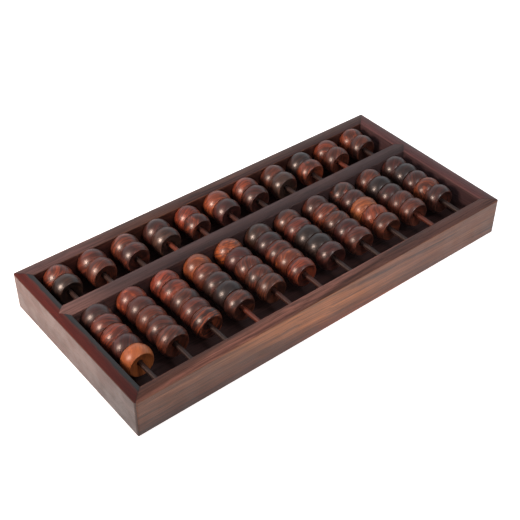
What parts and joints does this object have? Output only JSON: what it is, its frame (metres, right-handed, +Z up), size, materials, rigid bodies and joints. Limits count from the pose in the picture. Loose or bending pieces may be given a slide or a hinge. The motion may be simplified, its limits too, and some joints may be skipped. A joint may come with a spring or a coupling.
{
  "type": "abacus",
  "caption": "Counting frame: a mitred wooden tray with a divider beam and rods, on which turned wooden beads slide towards or away from the beam to count.",
  "frame": {"origin": "centre of the underside, at the middle of the base panel", "axes": "+X along the frame from the first column to the last, +Y from the front rail to the rear rail (the two-bead deck), +Z up out of the open top"},
  "size_m": [0.275, 0.1274, 0.028],
  "materials": {
    "frame_wood": "satin, oiled rosewood with straight dark streaks",
    "beam_wood": "satin, darker rosewood",
    "panel_wood": "matt, very dark stained board",
    "rod_wood": "satin, smooth split hardwood",
    "spline_wood": "matt, sawn",
    "bead_dark": "polished, near-black heartwood",
    "bead_brown": "polished, red-brown heartwood with dark streaks",
    "bead_red": "polished, red-orange heartwood with dark streaks",
    "bead_orange": "polished, orange sapwood"
  },
  "bodies": {
    "frame": {"front_rail": "frame_wood", "rear_rail": "frame_wood", "left_rail": "frame_wood", "right_rail": "frame_wood", "divider_beam": "beam_wood", "base_panel": "panel_wood", "rods": "rod_wood", "corner_splines": "spline_wood"},
    "upper_rear_bead_01": {"upper_rear_bead_01": "bead_red"},
    "upper_front_bead_01": {"upper_front_bead_01": "bead_dark"},
    "lower_inner_beads_01": {"lower_inner_beads_01": "bead_dark"},
    "lower_outer_beads_01": {"lower_outer_beads_01": "bead_orange"},
    "upper_rear_bead_02": {"upper_rear_bead_02": "bead_red"},
    "upper_front_bead_02": {"upper_front_bead_02": "bead_red"},
    "lower_inner_beads_02": {"lower_inner_beads_02": "bead_red"},
    "lower_outer_beads_02": {"lower_outer_beads_02": "bead_brown"},
    "upper_rear_bead_03": {"upper_rear_bead_03": "bead_brown"},
    "upper_front_bead_03": {"upper_front_bead_03": "bead_brown"},
    "lower_inner_beads_03": {"lower_inner_beads_03": "bead_red"},
    "lower_outer_beads_03": {"lower_outer_beads_03": "bead_dark"},
    "upper_rear_bead_04": {"upper_rear_bead_04": "bead_brown"},
    "upper_front_bead_04": {"upper_front_bead_04": "bead_dark"},
    "lower_inner_beads_04": {"lower_inner_beads_04": "bead_red"},
    "lower_outer_beads_04": {"lower_outer_beads_04": "bead_brown"},
    "upper_rear_bead_05": {"upper_rear_bead_05": "bead_orange"},
    "upper_front_bead_05": {"upper_front_bead_05": "bead_dark"},
    "lower_inner_beads_05": {"lower_inner_beads_05": "bead_red"},
    "lower_outer_beads_05": {"lower_outer_beads_05": "bead_brown"},
    "upper_rear_bead_06": {"upper_rear_bead_06": "bead_orange"},
    "upper_front_bead_06": {"upper_front_bead_06": "bead_dark"},
    "lower_inner_beads_06": {"lower_inner_beads_06": "bead_dark"},
    "lower_outer_beads_06": {"lower_outer_beads_06": "bead_red"},
    "upper_rear_bead_07": {"upper_rear_bead_07": "bead_red"},
    "upper_front_bead_07": {"upper_front_bead_07": "bead_brown"},
    "lower_inner_beads_07": {"lower_inner_beads_07": "bead_dark"},
    "lower_outer_beads_07": {"lower_outer_beads_07": "bead_dark"},
    "upper_rear_bead_08": {"upper_rear_bead_08": "bead_brown"},
    "upper_front_bead_08": {"upper_front_bead_08": "bead_brown"},
    "lower_inner_beads_08": {"lower_inner_beads_08": "bead_dark"},
    "lower_outer_beads_08": {"lower_outer_beads_08": "bead_brown"},
    "upper_rear_bead_09": {"upper_rear_bead_09": "bead_dark"},
    "upper_front_bead_09": {"upper_front_bead_09": "bead_red"},
    "lower_inner_beads_09": {"lower_inner_beads_09": "bead_dark"},
    "lower_outer_beads_09": {"lower_outer_beads_09": "bead_red"},
    "upper_rear_bead_10": {"upper_rear_bead_10": "bead_red"},
    "upper_front_bead_10": {"upper_front_bead_10": "bead_brown"},
    "lower_inner_beads_10": {"lower_inner_beads_10": "bead_red"},
    "lower_outer_beads_10": {"lower_outer_beads_10": "bead_brown"},
    "upper_rear_bead_11": {"upper_rear_bead_11": "bead_brown"},
    "upper_front_bead_11": {"upper_front_bead_11": "bead_brown"},
    "lower_inner_beads_11": {"lower_inner_beads_11": "bead_dark"},
    "lower_outer_beads_11": {"lower_outer_beads_11": "bead_brown"}
  },
  "joints": [
    {"name": "upper_pair_slide_01", "type": "slide", "parent": "frame", "child": "upper_rear_bead_01", "axis": [0, -1, 0], "range_m": [0, 0.01237]},
    {"name": "upper_front_slide_01", "type": "slide", "parent": "upper_rear_bead_01", "child": "upper_front_bead_01", "axis": [0, 1, 0], "range_m": [-0.01237, 0]},
    {"name": "lower_stack_slide_01", "type": "slide", "parent": "frame", "child": "lower_inner_beads_01", "axis": [0, -1, 0], "range_m": [0, 0.01759]},
    {"name": "lower_outer_slide_01", "type": "slide", "parent": "lower_inner_beads_01", "child": "lower_outer_beads_01", "axis": [0, 1, 0], "range_m": [-0.01759, 0]},
    {"name": "upper_pair_slide_02", "type": "slide", "parent": "frame", "child": "upper_rear_bead_02", "axis": [0, -1, 0], "range_m": [0, 0.01237]},
    {"name": "upper_front_slide_02", "type": "slide", "parent": "upper_rear_bead_02", "child": "upper_front_bead_02", "axis": [0, 1, 0], "range_m": [-0.01237, 0]},
    {"name": "lower_stack_slide_02", "type": "slide", "parent": "frame", "child": "lower_inner_beads_02", "axis": [0, -1, 0], "range_m": [0, 0.01759]},
    {"name": "lower_outer_slide_02", "type": "slide", "parent": "lower_inner_beads_02", "child": "lower_outer_beads_02", "axis": [0, 1, 0], "range_m": [-0.01759, 0]},
    {"name": "upper_pair_slide_03", "type": "slide", "parent": "frame", "child": "upper_rear_bead_03", "axis": [0, -1, 0], "range_m": [0, 0.01237]},
    {"name": "upper_front_slide_03", "type": "slide", "parent": "upper_rear_bead_03", "child": "upper_front_bead_03", "axis": [0, 1, 0], "range_m": [-0.01237, 0]},
    {"name": "lower_stack_slide_03", "type": "slide", "parent": "frame", "child": "lower_inner_beads_03", "axis": [0, -1, 0], "range_m": [0, 0.01759]},
    {"name": "lower_outer_slide_03", "type": "slide", "parent": "lower_inner_beads_03", "child": "lower_outer_beads_03", "axis": [0, 1, 0], "range_m": [-0.01759, 0]},
    {"name": "upper_pair_slide_04", "type": "slide", "parent": "frame", "child": "upper_rear_bead_04", "axis": [0, -1, 0], "range_m": [0, 0.01237]},
    {"name": "upper_front_slide_04", "type": "slide", "parent": "upper_rear_bead_04", "child": "upper_front_bead_04", "axis": [0, 1, 0], "range_m": [-0.01237, 0]},
    {"name": "lower_stack_slide_04", "type": "slide", "parent": "frame", "child": "lower_inner_beads_04", "axis": [0, -1, 0], "range_m": [0, 0.01759]},
    {"name": "lower_outer_slide_04", "type": "slide", "parent": "lower_inner_beads_04", "child": "lower_outer_beads_04", "axis": [0, 1, 0], "range_m": [-0.01759, 0]},
    {"name": "upper_pair_slide_05", "type": "slide", "parent": "frame", "child": "upper_rear_bead_05", "axis": [0, -1, 0], "range_m": [0, 0.01237]},
    {"name": "upper_front_slide_05", "type": "slide", "parent": "upper_rear_bead_05", "child": "upper_front_bead_05", "axis": [0, 1, 0], "range_m": [-0.01237, 0]},
    {"name": "lower_stack_slide_05", "type": "slide", "parent": "frame", "child": "lower_inner_beads_05", "axis": [0, -1, 0], "range_m": [0, 0.01759]},
    {"name": "lower_outer_slide_05", "type": "slide", "parent": "lower_inner_beads_05", "child": "lower_outer_beads_05", "axis": [0, 1, 0], "range_m": [-0.01759, 0]},
    {"name": "upper_pair_slide_06", "type": "slide", "parent": "frame", "child": "upper_rear_bead_06", "axis": [0, -1, 0], "range_m": [0, 0.01237]},
    {"name": "upper_front_slide_06", "type": "slide", "parent": "upper_rear_bead_06", "child": "upper_front_bead_06", "axis": [0, 1, 0], "range_m": [-0.01237, 0]},
    {"name": "lower_stack_slide_06", "type": "slide", "parent": "frame", "child": "lower_inner_beads_06", "axis": [0, -1, 0], "range_m": [0, 0.01759]},
    {"name": "lower_outer_slide_06", "type": "slide", "parent": "lower_inner_beads_06", "child": "lower_outer_beads_06", "axis": [0, 1, 0], "range_m": [-0.01759, 0]},
    {"name": "upper_pair_slide_07", "type": "slide", "parent": "frame", "child": "upper_rear_bead_07", "axis": [0, -1, 0], "range_m": [0, 0.01237]},
    {"name": "upper_front_slide_07", "type": "slide", "parent": "upper_rear_bead_07", "child": "upper_front_bead_07", "axis": [0, 1, 0], "range_m": [-0.01237, 0]},
    {"name": "lower_stack_slide_07", "type": "slide", "parent": "frame", "child": "lower_inner_beads_07", "axis": [0, -1, 0], "range_m": [0, 0.01759]},
    {"name": "lower_outer_slide_07", "type": "slide", "parent": "lower_inner_beads_07", "child": "lower_outer_beads_07", "axis": [0, 1, 0], "range_m": [-0.01759, 0]},
    {"name": "upper_pair_slide_08", "type": "slide", "parent": "frame", "child": "upper_rear_bead_08", "axis": [0, -1, 0], "range_m": [0, 0.01237]},
    {"name": "upper_front_slide_08", "type": "slide", "parent": "upper_rear_bead_08", "child": "upper_front_bead_08", "axis": [0, 1, 0], "range_m": [-0.01237, 0]},
    {"name": "lower_stack_slide_08", "type": "slide", "parent": "frame", "child": "lower_inner_beads_08", "axis": [0, -1, 0], "range_m": [0, 0.01759]},
    {"name": "lower_outer_slide_08", "type": "slide", "parent": "lower_inner_beads_08", "child": "lower_outer_beads_08", "axis": [0, 1, 0], "range_m": [-0.01759, 0]},
    {"name": "upper_pair_slide_09", "type": "slide", "parent": "frame", "child": "upper_rear_bead_09", "axis": [0, -1, 0], "range_m": [0, 0.01237]},
    {"name": "upper_front_slide_09", "type": "slide", "parent": "upper_rear_bead_09", "child": "upper_front_bead_09", "axis": [0, 1, 0], "range_m": [-0.01237, 0]},
    {"name": "lower_stack_slide_09", "type": "slide", "parent": "frame", "child": "lower_inner_beads_09", "axis": [0, -1, 0], "range_m": [0, 0.01759]},
    {"name": "lower_outer_slide_09", "type": "slide", "parent": "lower_inner_beads_09", "child": "lower_outer_beads_09", "axis": [0, 1, 0], "range_m": [-0.01759, 0]},
    {"name": "upper_pair_slide_10", "type": "slide", "parent": "frame", "child": "upper_rear_bead_10", "axis": [0, -1, 0], "range_m": [0, 0.01237]},
    {"name": "upper_front_slide_10", "type": "slide", "parent": "upper_rear_bead_10", "child": "upper_front_bead_10", "axis": [0, 1, 0], "range_m": [-0.01237, 0]},
    {"name": "lower_stack_slide_10", "type": "slide", "parent": "frame", "child": "lower_inner_beads_10", "axis": [0, -1, 0], "range_m": [0, 0.01759]},
    {"name": "lower_outer_slide_10", "type": "slide", "parent": "lower_inner_beads_10", "child": "lower_outer_beads_10", "axis": [0, 1, 0], "range_m": [-0.01759, 0]},
    {"name": "upper_pair_slide_11", "type": "slide", "parent": "frame", "child": "upper_rear_bead_11", "axis": [0, -1, 0], "range_m": [0, 0.01237]},
    {"name": "upper_front_slide_11", "type": "slide", "parent": "upper_rear_bead_11", "child": "upper_front_bead_11", "axis": [0, 1, 0], "range_m": [-0.01237, 0]},
    {"name": "lower_stack_slide_11", "type": "slide", "parent": "frame", "child": "lower_inner_beads_11", "axis": [0, -1, 0], "range_m": [0, 0.01759]},
    {"name": "lower_outer_slide_11", "type": "slide", "parent": "lower_inner_beads_11", "child": "lower_outer_beads_11", "axis": [0, 1, 0], "range_m": [-0.01759, 0]}
  ]
}
